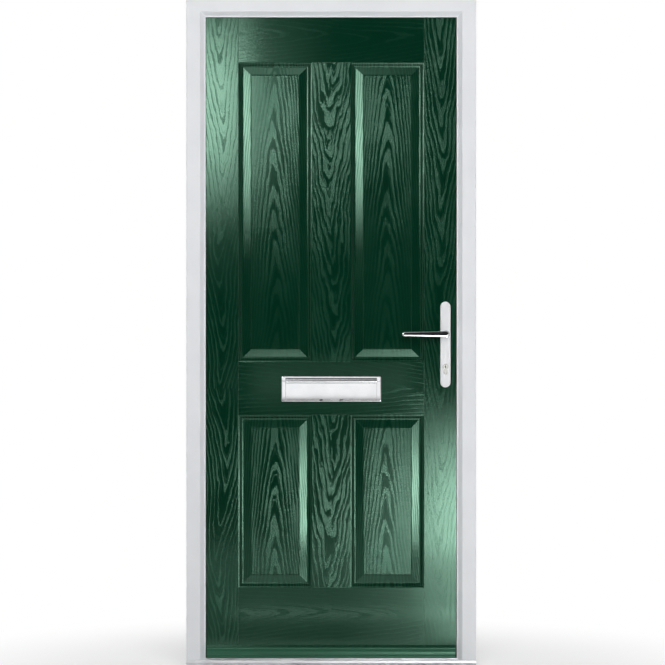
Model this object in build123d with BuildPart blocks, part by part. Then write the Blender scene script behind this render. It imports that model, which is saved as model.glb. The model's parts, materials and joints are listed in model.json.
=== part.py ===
from build123d import *
import os
from math import cos, radians, sin, sqrt

os.makedirs("parts", exist_ok=True)

# Panelled front door in its frame, closed. Millimetres.
# X runs to the right seen from outside, Y into the house, Z up.
# The origin is on the floor, under the middle of the threshold and of the frame's depth.

# How far a cutter reaches past the face it opens, and how near a corner is to where it is looked for
past = 1
near = 0.1

# Frame: hollow plastic section, mitred at the head
frame_width = 900
frame_height = 2085
frame_depth = 70
frame_face = 42.5
frame_round = 2
lip_chamfer = 13
lip_nib = 3.5
lip_nib_depth = 5
jamb_rebate = 45
frame_wall = 2.8
rear_web = 12.2
steel_room = 26.2
groove_at = 50.5
groove_width = 3
groove_depth = 2

# Steel boxes inside the frame
steel_fit = 0.5
steel_wall = 1.5
steel_end = 70

# Threshold: two aluminium sections and the plastic strip between them
threshold_reach = 33
nose_height = 4
ramp_height = 18
ledge_groove = 2
deck_reach = 9
deck_height = 27
deck_round = 1.5
upstand_width = 7
upstand_height = 31
rebate_floor = 12
threshold_wall = 2.5
outer_lap = 11
break_width = 14
rib_radius = 0.8
rib_pitch = 4

# Seals
gasket_gap = 3
seal_gap = 0.3
gasket_width = 13
gasket_reach = 1.5
sill_seal_height = 8
seal_round = 1
drop_seal_width = 10
drop_seal_angle = 70

# Leaf
leaf_gap = 5
leaf_thickness = 44
skin = 2
hinge_stile_width = 60
lock_stile_width = 75
top_rail_height = 60
bottom_rail_height = 80

# Raised and fielded panels: two tall ones above the letterplate, two short ones below
mullion = 120
stile_face = 110.5
tall_bottom = 953
above_tall = 149
short_bottom = 249.5
short_height = 538.5
moulding_width = 41
moulding_depth = 9
ogee_width = 15
ogee_flat = 1
ogee_swell = 1.1
ogee_back = 2.5
bevel_top = 3
field_step = 4
step_bulge = 2.8
field_depth = 0.5

# Weather bar across the foot of the leaf
bar_inset = 14
bar_bottom = 33
bar_height = 38
bar_reach = 30
bar_wall = 2.5
bar_top_fall = 4.5
bar_nose = 5
bar_lip = 2.5
bar_hollow = 1.2
drip_groove = 3

# Hinges: one barrel in the frame half, one in the door half, on a fixed pin
bottom_hinge_up = 243
top_hinge_down = 205
hinge_length = 100
hinge_barrel = 8
hinge_pin = 4
pin_past_edge = 3
pin_past_face = 9
hinge_plate = 3.5
frame_plate_width = 32
frame_plate_inset = 5
door_plate_width = 50
door_plate_start = 5
hinge_web = 8
web_below_pin = 2.7
running_gap = 0.05
barrel_gap = 0.4

# Long screws through the leaf
screw = 2.1
screw_head = 4.2
screw_room = 0.1
bolt = 2.5
bolt_head = 4.5

# Lock, in the edge of the leaf
backset = 44.3
spindle_height = 1039.5
key_drop = 101.3
faceplate = 3
faceplate_width = 20
faceplate_inset = 134
lock_fit = 0.3
case_depth = 60.5
case_width = 16
case_below_key = 33.2
case_above_spindle = 40.5
case_wall = 1.5
strip = 2.8
strip_width = 14
strip_travel = 18
strip_past_hook = 115
strip_spare = 10

latch_height = 30
latch_width = 12
latch_throw = 12
latch_body = 32
latch_rise = 3.5
tail = 3
follower_hub = 9.2
follower_arm = 19
arm_width = 6
arm_gap = 0.8
bolt_height = 28
bolt_below_spindle = 63.5
bolt_body = 27.7
bolt_chamfer = 1

bottom_hook_up = 403
top_hook_down = 385
hook_reach = 30
hook_arm = 14
hook_nose = 12
hook_nose_depth = 8.5
hook_thickness = 6
hook_pin = 3
hook_room = 2
hook_case_half = 55
hook_case_depth = 32

keep = 2.5
keep_width = 28
keep_margin = 20
keep_corner = 5
bolt_room = 0.6

# Cylinder: a round plug above a narrow leg
cylinder_round = 8.5
cylinder_leg = 5
cylinder_height = 33
cylinder_past_plate = 3
plug = 6.5
cam_width = 10
cam_reach = 15
cam_hub = 8
cam_gap = 0.3
cylinder_screw_drop = 20
keyway_width = 2
keyway_height = 8

# Handle: long plate with round ends, lever to the hinge side
plate_width = 32
plate_height = 267
plate_below_spindle = 166
plate_thickness = 9
plate_round = 3
plate_wall = 2.5
plate_hollow = 4.5
plate_screw_inset = 18.5
neck = 10.9
neck_root = 14
neck_out = 32
neck_gap = 1
lever_length = 136.5
lever_height = 20
lever_tip_height = 15
lever_depth = 13
lever_front_round = 5
lever_back_round = 3
spindle = 8
spindle_edge = 0.7
spindle_fit = 0.1
spindle_into_lever = 24

# Letterplate
plate_centre = 869
letter_width = 311
letter_height = 79.7
letter_round = 4
letter_thickness = 14
letter_edge_round = 2.5
letter_border = 6
letter_floor = 3
flap_margin = 14
flap_width = letter_width - 2 * flap_margin
flap_room = 0.4
flap_thickness = 3
flap_foot = 9
flap_tab_width = 53
flap_tab = 5
notch_width = 9.5
notch_height = 6
flap_barrel = 8.5
flap_pin = 2
flap_drop = letter_height - letter_border - flap_barrel - flap_room - flap_foot
slot_margin = 10.5
slot_inset = 17.85
slot_width = flap_width - 2 * slot_margin
slot_height = letter_height - 2 * slot_inset
sleeve_wall = 1.6
inner_letter_thickness = 9
inner_letter_floor = 2
inner_flap_barrel = 4.2
inner_flap_foot = 14.1
inner_flap_drop = letter_height - letter_border - inner_flap_barrel - flap_room - inner_flap_foot

# Fixing holes through the jambs and their steel, in pairs
fixing_hole = 5
fixing_depth = 2
bottom_fixing = 250
top_fixing_down = 235

# Places that follow from the sizes above
half_width = frame_width / 2
frame_front = -frame_depth / 2
frame_back = frame_depth / 2
rebate_x = half_width - jamb_rebate
sightline = frame_face + lip_chamfer + lip_nib
nib_x = half_width - sightline
stop_y = frame_front + lip_chamfer + lip_nib_depth
leaf_x = rebate_x - leaf_gap
leaf_front = stop_y + gasket_gap
leaf_back = leaf_front + leaf_thickness
leaf_middle = (leaf_front + leaf_back) / 2
leaf_bottom = rebate_floor + leaf_gap
leaf_top = frame_height - jamb_rebate - leaf_gap
tall_height = leaf_top - above_tall - tall_bottom
panel_width = leaf_x - stile_face - mullion / 2
bottom_hinge = leaf_bottom + bottom_hinge_up
top_hinge = leaf_top - top_hinge_down
hinge_heights = {"bottom": bottom_hinge, "middle": (bottom_hinge + top_hinge) / 2, "top": top_hinge}
hook_heights = {"bottom": leaf_bottom + bottom_hook_up, "top": leaf_top - top_hook_down}
faceplate_bottom = leaf_bottom + faceplate_inset
faceplate_top = leaf_top - faceplate_inset
strip_bottom = hook_heights["bottom"] - strip_past_hook
strip_top = hook_heights["top"] + strip_past_hook
key_height = spindle_height - key_drop
case_bottom = key_height - case_below_key
case_top = spindle_height + case_above_spindle
plate_bottom = spindle_height - plate_below_spindle
fixing_span = frame_height - top_fixing_down - bottom_fixing
fixing_heights = [bottom_fixing + step * fixing_span / 3 for step in range(4)]
core_front = leaf_front + skin
core_back = leaf_back - skin
lock_stile_x = leaf_x - lock_stile_width
hinge_stile_x = -leaf_x + hinge_stile_width

panels = [
    (side * (mullion + panel_width) / 2, bottom, height)
    for side in (-1, 1)
    for bottom, height in ((tall_bottom, tall_height), (short_bottom, short_height))
]

CENTRE_IN = (Align.CENTER, Align.CENTER, Align.MAX)
UPWARD = (Align.CENTER, Align.CENTER, Align.MIN)


def block(x, y, z):
    """A plain block between two corners on each axis."""
    with BuildPart() as piece:
        with Locations((sum(x) / 2, sum(y) / 2, sum(z) / 2)):
            Box(x[1] - x[0], y[1] - y[0], z[1] - z[0])
    return piece.part


def pegs(points, outward, length, shank, head):
    """Countersunk screws, or the holes for them. Each head is flush at its point and faces outward."""
    with BuildPart() as group:
        for point in points:
            with Locations(Plane(origin=point, z_dir=outward)):
                Cylinder(shank, length, align=CENTRE_IN)
                Cone(shank, head, head - shank, align=CENTRE_IN)
    return group.part


# Frame

def frame_section(plane):
    """The hollow frame section: x in from the outer edge of the frame, y into the house."""
    with BuildSketch(plane) as section:
        with BuildLine():
            Polyline(
                (0, frame_front),
                (frame_face, frame_front),
                (frame_face + lip_chamfer, frame_front + lip_chamfer),
                (sightline, frame_front + lip_chamfer),
                (sightline, stop_y),
                (jamb_rebate, stop_y),
                (jamb_rebate, frame_back),
                (0, frame_back),
                close=True,
            )
        make_face()
        fillet(section.vertices().group_by(Axis.Y)[0], frame_round)
        offset(amount=-frame_wall, kind=Kind.INTERSECTION, mode=Mode.SUBTRACT)
        with Locations((jamb_rebate / 2, stop_y + frame_wall / 2)):
            Rectangle(jamb_rebate, frame_wall)
        with Locations((jamb_rebate / 2, frame_back - rear_web - frame_wall / 2)):
            Rectangle(jamb_rebate, frame_wall)
        with Locations((frame_wall + steel_room + frame_wall / 2, (stop_y + frame_back) / 2)):
            Rectangle(frame_wall, frame_back - stop_y - frame_wall)
        with Locations((groove_at, stop_y - groove_depth / 2)):
            Rectangle(groove_width, groove_depth, mode=Mode.SUBTRACT)
    return section.sketch


def steel_section(plane):
    """The steel box section, loose by steel_fit in its chamber of the frame."""
    low = stop_y + frame_wall + steel_fit
    high = frame_back - rear_web - frame_wall - steel_fit
    width = steel_room - 2 * steel_fit
    with BuildSketch(plane) as section:
        with Locations((frame_wall + steel_room / 2, (low + high) / 2)):
            Rectangle(width, high - low)
            Rectangle(width - 2 * steel_wall, high - low - 2 * steel_wall, mode=Mode.SUBTRACT)
    return section.sketch


hinge_jamb_plane = Plane(origin=(-half_width, 0, deck_height), x_dir=(1, 0, 0), z_dir=(0, 0, 1))
lock_jamb_plane = Plane(origin=(half_width, 0, frame_height), x_dir=(-1, 0, 0), z_dir=(0, 0, -1))
head_plane = Plane(origin=(-half_width, 0, frame_height), x_dir=(0, 0, -1), z_dir=(1, 0, 0))
left_mitre = Plane(origin=(-half_width, 0, frame_height), z_dir=(1, 0, 1))
right_mitre = Plane(origin=(half_width, 0, frame_height), z_dir=(-1, 0, 1))
jamb_length = frame_height - deck_height


def fixing_holes(side):
    """The four holes through one jamb, from rebate to wall, for the frame fixings."""
    with BuildPart() as holes:
        for height in fixing_heights:
            start = (side * (half_width + past), fixing_depth, height)
            with Locations(Plane(origin=start, z_dir=(side, 0, 0))):
                Cylinder(fixing_hole, jamb_rebate + 2 * past, align=CENTRE_IN)
    return holes.part


pin_x = -leaf_x - pin_past_edge
pin_y = frame_back + pin_past_face
frame_plate_x = -half_width + frame_plate_inset

# Lock places: the bolts run in the middle of the leaf's thickness
spindle_x = leaf_x - backset
face_back_x = leaf_x - faceplate
case_front_x = face_back_x - strip - 2 * lock_fit
case_back_x = case_front_x - case_depth
case_y = (leaf_middle - case_width / 2, leaf_middle + case_width / 2)
latch_y = (leaf_middle - latch_width / 2, leaf_middle + latch_width / 2)
latch_z = (spindle_height - latch_height / 2 + latch_rise, spindle_height + latch_height / 2 + latch_rise)
bolt_centre = spindle_height - bolt_below_spindle
bolt_z = (bolt_centre - bolt_height / 2, bolt_centre + bolt_height / 2)
hook_x = case_front_x - lock_fit - hook_arm / 2 - hook_room
keep_y = (leaf_middle - keep_width / 2, leaf_middle + keep_width / 2)
keep_x = rebate_x - keep
chamber_x = rebate_x + jamb_rebate - frame_wall - steel_room - frame_wall - lock_fit


def hook_window(pivot, room):
    """The height range that one hook sweeps where it leaves the lock's edge."""
    return (pivot - hook_reach - room, pivot + hook_arm / 2 + room)


def bolt_windows(x, room, hook_room):
    """Cutters for the latch, the bolt and both hooks, between two places on X."""
    windows = [
        block(x, (latch_y[0] - room, latch_y[1] + room), (z[0] - room, z[1] + room))
        for z in (latch_z, bolt_z)
    ]
    hook_y = (leaf_middle - hook_thickness / 2 - room, leaf_middle + hook_thickness / 2 + room)
    for pivot in hook_heights.values():
        windows.append(block(x, hook_y, hook_window(pivot, hook_room)))
    return windows


keeps = {
    "latch_keep": (bolt_z[0], latch_z[1]),
    "hook_keep_bottom": hook_window(hook_heights["bottom"], bolt_room),
    "hook_keep_top": hook_window(hook_heights["top"], bolt_room),
}

with BuildPart() as frame_hinge_jamb:
    extrude(frame_section(hinge_jamb_plane), amount=jamb_length)
    split(bisect_by=left_mitre, keep=Keep.BOTTOM)
    add(fixing_holes(-1), mode=Mode.SUBTRACT)
frame_hinge_jamb.part.label = "frame_hinge_jamb"
export_step(frame_hinge_jamb.part, "parts/frame_hinge_jamb.step")

with BuildPart() as frame_lock_jamb:
    extrude(frame_section(lock_jamb_plane), amount=jamb_length)
    split(bisect_by=right_mitre, keep=Keep.BOTTOM)
    add(fixing_holes(1), mode=Mode.SUBTRACT)
    hook_sweep = 2 * bolt_room + hook_nose - hook_arm / 2
    for window in bolt_windows((rebate_x - past, chamber_x), bolt_room, hook_sweep):
        add(window, mode=Mode.SUBTRACT)
frame_lock_jamb.part.label = "frame_lock_jamb"
export_step(frame_lock_jamb.part, "parts/frame_lock_jamb.step")

with BuildPart() as frame_head:
    extrude(frame_section(head_plane), amount=frame_width)
    split(bisect_by=left_mitre, keep=Keep.TOP)
    split(bisect_by=right_mitre, keep=Keep.TOP)
frame_head.part.label = "frame_head"
export_step(frame_head.part, "parts/frame_head.step")

steel_length = frame_height - deck_height - steel_end
lock_steel_plane = Plane(
    origin=(half_width, 0, frame_height - steel_end), x_dir=(-1, 0, 0), z_dir=(0, 0, -1)
)
with BuildPart() as frame_steels:
    extrude(steel_section(hinge_jamb_plane), amount=steel_length)
    extrude(steel_section(lock_steel_plane), amount=steel_length)
    extrude(steel_section(head_plane.offset(steel_end)), amount=frame_width - 2 * steel_end)
    add(fixing_holes(-1), mode=Mode.SUBTRACT)
    add(fixing_holes(1), mode=Mode.SUBTRACT)
frame_steels.part.label = "frame_steels"
export_step(frame_steels.part, "parts/frame_steels.step")

# Frame gasket: one strip up the hinge jamb, across the head and down the lock jamb
gasket_x = half_width - groove_at
gasket_top = frame_height - groove_at
with BuildPart() as frame_gasket:
    with BuildLine() as gasket_path:
        Polyline(
            (-gasket_x, stop_y, deck_height),
            (-gasket_x, stop_y, gasket_top),
            (gasket_x, stop_y, gasket_top),
            (gasket_x, stop_y, deck_height),
        )
    with BuildSketch(Plane(origin=(-gasket_x, stop_y, deck_height), x_dir=(1, 0, 0), z_dir=(0, 0, 1))):
        bulb = gasket_gap - seal_gap
        bulb_end = sightline + gasket_reach - groove_at
        with Locations((bulb_end - gasket_width / 2, bulb / 2)):
            RectangleRounded(gasket_width, bulb, bulb / 2 - seal_gap / 2)
        with Locations((0, -groove_depth / 2 + seal_gap / 2)):
            Rectangle(groove_width, groove_depth + seal_gap)
    sweep(path=gasket_path.line, transition=Transition.RIGHT)
frame_gasket.part.label = "frame_gasket"
export_step(frame_gasket.part, "parts/frame_gasket.step")

# Threshold
nose_y = frame_front - threshold_reach
ledge_y = frame_front - deck_reach
upstand_y = stop_y - upstand_width
outer_end_y = stop_y + outer_lap
inner_start_y = outer_end_y + break_width
ramp_run = ledge_y - nose_y
ramp_slope = (ramp_height - nose_height) / ramp_run
ledge_bottom = ramp_height + ledge_groove

with BuildPart() as threshold_outer:
    with BuildSketch(Plane.YZ.offset(-half_width)) as sill:
        with BuildLine():
            Polyline(
                (nose_y, 0),
                (nose_y, nose_height),
                (ledge_y, ramp_height),
                (ledge_y + ledge_groove, ramp_height),
                (ledge_y + ledge_groove, ledge_bottom),
                (ledge_y, ledge_bottom),
                (ledge_y, deck_height),
                (upstand_y, deck_height),
                (upstand_y, upstand_height),
                (stop_y, upstand_height),
                (stop_y, rebate_floor),
                (outer_end_y, rebate_floor),
                (outer_end_y, 0),
                close=True,
            )
        make_face()
        fillet(sill.vertices().filter_by_position(Axis.X, ledge_y - near, ledge_y + near)
               .sort_by(Axis.Y)[-1], deck_round)
        fillet(sill.vertices().group_by(Axis.Y)[-1], deck_round)
        with BuildLine():
            Polyline(
                (nose_y + threshold_wall, threshold_wall),
                (nose_y + threshold_wall, nose_height),
                (ledge_y + ledge_groove, ramp_height - threshold_wall),
                (ledge_y + ledge_groove + threshold_wall, ramp_height - threshold_wall),
                (ledge_y + ledge_groove + threshold_wall, deck_height - threshold_wall),
                (upstand_y, deck_height - threshold_wall),
                (upstand_y, threshold_wall),
                close=True,
            )
        make_face(mode=Mode.SUBTRACT)
        with Locations((ledge_y + ledge_groove, ramp_height / 2)):
            Rectangle(threshold_wall, ramp_height - threshold_wall)
        for rib in range(1, int(ramp_run / rib_pitch)):
            with Locations((nose_y + rib * rib_pitch, nose_height + rib * rib_pitch * ramp_slope)):
                Circle(rib_radius)
        for rib in range(1, int((upstand_y - ledge_y) / rib_pitch)):
            with Locations((ledge_y + rib * rib_pitch, deck_height - rib_radius)):
                Rectangle(rib_radius, rib_radius, mode=Mode.SUBTRACT)
    extrude(amount=frame_width)
    for side in (-1, 1):
        with Locations((side * (nib_x + half_width) / 2, upstand_y + upstand_width / 2, deck_height)):
            Box(half_width - nib_x, upstand_width, deck_height, align=UPWARD, mode=Mode.SUBTRACT)
threshold_outer.part.label = "threshold_outer"
export_step(threshold_outer.part, "parts/threshold_outer.step")

with BuildPart() as threshold_break:
    with BuildSketch(Plane.YZ.offset(-half_width)):
        with Locations(((outer_end_y + inner_start_y) / 2, rebate_floor / 2)):
            Rectangle(break_width, rebate_floor)
            Rectangle(break_width - 2 * threshold_wall, rebate_floor - 2 * threshold_wall, mode=Mode.SUBTRACT)
    extrude(amount=frame_width)
threshold_break.part.label = "threshold_break"
export_step(threshold_break.part, "parts/threshold_break.step")

with BuildPart() as threshold_inner:
    with BuildSketch(Plane.YZ.offset(-half_width)) as inner_sill:
        with Locations(((inner_start_y + frame_back) / 2, rebate_floor / 2)):
            Rectangle(frame_back - inner_start_y, rebate_floor)
        fillet(inner_sill.vertices().group_by(Axis.X)[-1].sort_by(Axis.Y)[-1], deck_round)
        with Locations(((inner_start_y + frame_back) / 2, rebate_floor / 2)):
            Rectangle(frame_back - inner_start_y - 2 * threshold_wall, rebate_floor - 2 * threshold_wall,
                      mode=Mode.SUBTRACT)
    extrude(amount=frame_width)
threshold_inner.part.label = "threshold_inner"
export_step(threshold_inner.part, "parts/threshold_inner.step")

with BuildPart() as threshold_blocks:
    for side in (-1, 1):
        with Locations((side * (half_width + rebate_x) / 2, (stop_y + frame_back) / 2, rebate_floor)):
            Box(jamb_rebate, frame_back - stop_y, deck_height - rebate_floor, align=UPWARD)
threshold_blocks.part.label = "threshold_blocks"
export_step(threshold_blocks.part, "parts/threshold_blocks.step")

with BuildPart() as threshold_gasket:
    with BuildSketch(Plane.YZ.offset(-rebate_x)):
        seal_centre = upstand_height - seal_round - sill_seal_height / 2
        with Locations((stop_y + (gasket_gap - seal_gap) / 2, seal_centre)):
            RectangleRounded(gasket_gap - seal_gap, sill_seal_height, seal_round)
    extrude(amount=2 * rebate_x)
    for side in (-1, 1):
        with Locations((side * rebate_x, stop_y, deck_height)):
            Box(2 * (rebate_x - nib_x + gasket_reach + seal_gap), 2 * gasket_gap, deck_height,
                align=UPWARD, mode=Mode.SUBTRACT)
threshold_gasket.part.label = "threshold_gasket"
export_step(threshold_gasket.part, "parts/threshold_gasket.step")

# Keeps on the lock jamb
for name, (low, high) in keeps.items():
    with BuildPart() as keep_plate:
        add(block((keep_x, rebate_x), keep_y, (low - keep_margin, high + keep_margin)))
        fillet(keep_plate.edges().filter_by(Axis.X), keep_corner)
        for window in bolt_windows((keep_x - past, rebate_x + past), bolt_room, bolt_room):
            add(window, mode=Mode.SUBTRACT)
    keep_plate.part.label = name
    export_step(keep_plate.part, f"parts/{name}.step")

# Hinges
door_plate_x = -leaf_x + door_plate_start


def barrel(height, bottom, top):
    """One knuckle round the hinge pin, between two heights above the hinge's middle."""
    with BuildPart() as knuckle:
        with Locations((pin_x, pin_y, height + bottom)):
            Cylinder(hinge_barrel, top - bottom, align=UPWARD)
    return knuckle.part


def pin_bore(height, clearance):
    """The hole for the pin through a knuckle."""
    with BuildPart() as bore:
        with Locations((pin_x, pin_y, height)):
            Cylinder(hinge_pin + clearance, hinge_length + 2 * past)
    return bore.part


for name, height in hinge_heights.items():
    half = hinge_length / 2
    with BuildPart() as frame_leaf:
        plate_end = frame_plate_x + frame_plate_width
        add(block((frame_plate_x, plate_end), (frame_back, frame_back + hinge_plate),
                  (height - half, height + half)))
        add(barrel(height, -half, -barrel_gap / 2))
        add(block((plate_end - hinge_barrel, pin_x), (frame_back, pin_y - web_below_pin),
                  (height - half, height - barrel_gap / 2)))
        add(pin_bore(height, 0), mode=Mode.SUBTRACT)
    frame_leaf.part.label = f"hinge_frame_leaf_{name}"
    export_step(frame_leaf.part, f"parts/hinge_frame_leaf_{name}.step")

    with BuildPart() as door_leaf:
        add(block((door_plate_x, door_plate_x + door_plate_width), (leaf_back, leaf_back + hinge_plate),
                  (height - half, height + half)))
        add(barrel(height, barrel_gap / 2, half))
        with BuildSketch(Plane.XY.offset(height + barrel_gap / 2)):
            with BuildLine():
                Polyline(
                    (pin_x, pin_y),
                    (pin_x + hinge_web / 2, leaf_back),
                    (door_plate_x + hinge_web, leaf_back),
                    (door_plate_x + hinge_web, leaf_back + hinge_plate),
                    (pin_x + hinge_barrel, pin_y),
                    close=True,
                )
            make_face()
        extrude(amount=half - barrel_gap / 2)
        add(pin_bore(height, running_gap), mode=Mode.SUBTRACT)
    door_leaf.part.label = f"hinge_door_leaf_{name}"
    export_step(door_leaf.part, f"parts/hinge_door_leaf_{name}.step")

with BuildPart() as hinge_pins:
    for height in hinge_heights.values():
        with Locations((pin_x, pin_y, height)):
            Cylinder(hinge_pin, hinge_length)
hinge_pins.part.label = "hinge_pins"
export_step(hinge_pins.part, "parts/hinge_pins.step")

# Holes through the leaf for the letterplate and the handle
plate_screw_heights = (plate_bottom + plate_screw_inset, plate_bottom + plate_height - plate_screw_inset)
letter_screw_x = (letter_width + flap_width) / 4
letter_z = (plate_centre - letter_height / 2, plate_centre + letter_height / 2)


def euro_profile(plane, room):
    """A round with a narrow leg below it, ending in a half round."""
    with BuildSketch(plane) as profile:
        with Locations((spindle_x, key_height)):
            Circle(cylinder_round + room)
        leg_end = key_height + cylinder_round - cylinder_height + cylinder_leg
        with Locations((spindle_x, (key_height + leg_end) / 2)):
            Rectangle(2 * (cylinder_leg + room), key_height - leg_end)
        with Locations((spindle_x, leg_end)):
            Circle(cylinder_leg + room)
    return profile.sketch


def cylinder_prism(front, back, room):
    """The cylinder's outline between two depths."""
    with BuildPart() as prism:
        extrude(euro_profile(Plane.XZ.offset(-back), room), amount=back - front)
    return prism.part


def rod_along_y(x, z, radius, front, back):
    """A round bar, or the hole for one, through the leaf."""
    with BuildPart() as rod:
        with Locations(Plane(origin=(x, back, z), z_dir=(0, 1, 0))):
            Cylinder(radius, back - front, align=CENTRE_IN)
    return rod.part


with BuildPart() as leaf_openings:
    add(block((-slot_width / 2 - lock_fit, slot_width / 2 + lock_fit), (leaf_front - past, leaf_back + past),
              (plate_centre - slot_height / 2 - lock_fit, plate_centre + slot_height / 2 + lock_fit)))
    add(cylinder_prism(leaf_front - past, leaf_back + past, lock_fit))
    add(rod_along_y(spindle_x, spindle_height, follower_hub + lock_fit, leaf_front - past, leaf_back + past))
    for height in plate_screw_heights:
        add(rod_along_y(spindle_x, height, bolt + lock_fit, leaf_front - past, leaf_back + past))
    for side in (-1, 1):
        add(rod_along_y(side * letter_screw_x, plate_centre, bolt + lock_fit,
                        leaf_front - past, leaf_back + past))


# Moulded skins and the foam between them

def moulding_section(plane):
    """The moulding at a panel's edge: x into the panel, y into the leaf."""
    with BuildSketch(plane) as section:
        with BuildLine():
            ogee_middle = (ogee_width / 2, moulding_depth / 2)
            ogee_quarter = ogee_width / 4
            Line((0, -past), (0, 0))
            ThreePointArc((0, 0), (ogee_quarter, ogee_swell), ogee_middle)
            ThreePointArc(ogee_middle, (ogee_width - ogee_quarter, moulding_depth - ogee_swell),
                          (ogee_width, moulding_depth))
            Line((ogee_width, moulding_depth), (bevel_start, moulding_depth))
            Line((bevel_start, moulding_depth), (bevel_end, bevel_top))
            ThreePointArc((bevel_end, bevel_top), (bevel_end + step_bulge, (bevel_top + field_depth) / 2),
                          (moulding_width, field_depth))
            Line((moulding_width, field_depth), (moulding_width, -past))
            Line((moulding_width, -past), (0, -past))
        make_face()
    return section.sketch


def moulding_back(plane):
    """The back of the moulding, in straight runs, one skin thickness behind its front."""
    with BuildSketch(plane) as section:
        with BuildLine():
            Polyline(
                (ogee_back, 0),
                (ogee_width - ogee_back, moulding_depth),
                (bevel_start, moulding_depth),
                (bevel_end, bevel_top),
                (moulding_width, 0),
                close=True,
            )
        make_face()
        offset(amount=skin, kind=Kind.INTERSECTION)
        with Locations((moulding_width / 2, -moulding_width)):
            Rectangle(2 * moulding_width, 2 * moulding_width, mode=Mode.SUBTRACT)
    return section.sketch


def round_each_panel(section):
    """One moulding section swept round all four panels, on the outer face of the leaf."""
    with BuildPart() as channels:
        for centre, bottom, height in panels:
            left = centre - panel_width / 2
            right = centre + panel_width / 2
            top = bottom + height
            with BuildLine(Plane(origin=(0, leaf_front, 0), x_dir=(1, 0, 0), z_dir=(0, -1, 0))) as path:
                Polyline((centre, bottom), (right, bottom), (right, top), (left, top), (left, bottom),
                         (centre, bottom))
            start = Plane(origin=(centre, leaf_front, bottom), x_dir=(0, 0, 1), z_dir=(-1, 0, 0))
            sweep(section(start), path=path.line, transition=Transition.RIGHT)
    return channels.part


bevel_start = ogee_width + ogee_flat
bevel_end = moulding_width - field_step
moulding_backs = round_each_panel(moulding_back)

with BuildPart() as outer_skin:
    add(block((-leaf_x, leaf_x), (leaf_front, core_front), (leaf_bottom, leaf_top)))
    add(moulding_backs)
    add(round_each_panel(moulding_section), mode=Mode.SUBTRACT)
    for centre, bottom, height in panels:
        with Locations((centre, leaf_front, bottom + height / 2)):
            Box(panel_width - 2 * moulding_width, 2 * field_depth, height - 2 * moulding_width,
                mode=Mode.SUBTRACT)
    add(leaf_openings.part, mode=Mode.SUBTRACT)
outer_skin.part.label = "outer_skin"
export_step(outer_skin.part, "parts/outer_skin.step")

mirror_plane = Plane.XZ.offset(-leaf_middle)
with BuildPart() as inner_skin:
    mirror(outer_skin.part, about=mirror_plane)
inner_skin.part.label = "inner_skin"
export_step(inner_skin.part, "parts/inner_skin.step")

with BuildPart() as foam_core:
    add(block((hinge_stile_x, lock_stile_x), (core_front, core_back),
              (leaf_bottom + bottom_rail_height, leaf_top - top_rail_height)))
    add(moulding_backs, mode=Mode.SUBTRACT)
    mirror(moulding_backs, about=mirror_plane, mode=Mode.SUBTRACT)
    add(leaf_openings.part, mode=Mode.SUBTRACT)
foam_core.part.label = "foam_core"
export_step(foam_core.part, "parts/foam_core.step")

# Edge members of the leaf
with BuildPart() as hinge_stile:
    add(block((-leaf_x, hinge_stile_x), (core_front, core_back), (leaf_bottom, leaf_top)))
hinge_stile.part.label = "hinge_stile"
export_step(hinge_stile.part, "parts/hinge_stile.step")

strip_y = (leaf_middle - strip_width / 2, leaf_middle + strip_width / 2)
cylinder_screw_height = key_height - cylinder_screw_drop
cylinder_screw_length = leaf_x - spindle_x + cylinder_leg
cylinder_screw_point = [(leaf_x, leaf_middle, cylinder_screw_height)]
cylinder_screw_hole = pegs(cylinder_screw_point, (1, 0, 0), cylinder_screw_length + past,
                           bolt + screw_room, bolt_head + screw_room)


def faceplate_slot(plane, room, thickness):
    """The long lock faceplate with round ends, or its groove."""
    with BuildPart() as slot:
        with BuildSketch(plane):
            with Locations((leaf_middle, (faceplate_bottom + faceplate_top) / 2)):
                SlotOverall(faceplate_top - faceplate_bottom + 2 * room, faceplate_width + 2 * room,
                            rotation=90)
        extrude(amount=thickness)
    return slot.part


with BuildPart() as lock_stile:
    add(block((lock_stile_x, leaf_x), (core_front, core_back), (leaf_bottom, leaf_top)))
    add(faceplate_slot(Plane.YZ.offset(face_back_x), lock_fit, faceplate + past), mode=Mode.SUBTRACT)
    add(block((case_front_x, face_back_x + past), (case_y[0], case_y[1]),
              (strip_bottom - strip_travel - strip_spare, strip_top + strip_travel + strip_spare)),
            mode=Mode.SUBTRACT)
    add(block((case_back_x - lock_fit, face_back_x), (case_y[0] - lock_fit, case_y[1] + lock_fit),
              (case_bottom - lock_fit, case_top + lock_fit)), mode=Mode.SUBTRACT)
    for pivot in hook_heights.values():
        add(block((case_front_x - hook_case_depth - lock_fit, face_back_x),
                  (case_y[0] - lock_fit, case_y[1] + lock_fit),
                  (pivot - hook_case_half - lock_fit, pivot + hook_case_half + lock_fit)), mode=Mode.SUBTRACT)
    add(cylinder_screw_hole, mode=Mode.SUBTRACT)
    add(leaf_openings.part, mode=Mode.SUBTRACT)
lock_stile.part.label = "lock_stile"
export_step(lock_stile.part, "parts/lock_stile.step")

with BuildPart() as top_rail:
    add(block((hinge_stile_x, lock_stile_x), (core_front, core_back), (leaf_top - top_rail_height, leaf_top)))
top_rail.part.label = "top_rail"
export_step(top_rail.part, "parts/top_rail.step")

with BuildPart() as bottom_rail:
    add(block((hinge_stile_x, lock_stile_x), (core_front, core_back),
              (leaf_bottom, leaf_bottom + bottom_rail_height)))
bottom_rail.part.label = "bottom_rail"
export_step(bottom_rail.part, "parts/bottom_rail.step")

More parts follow.
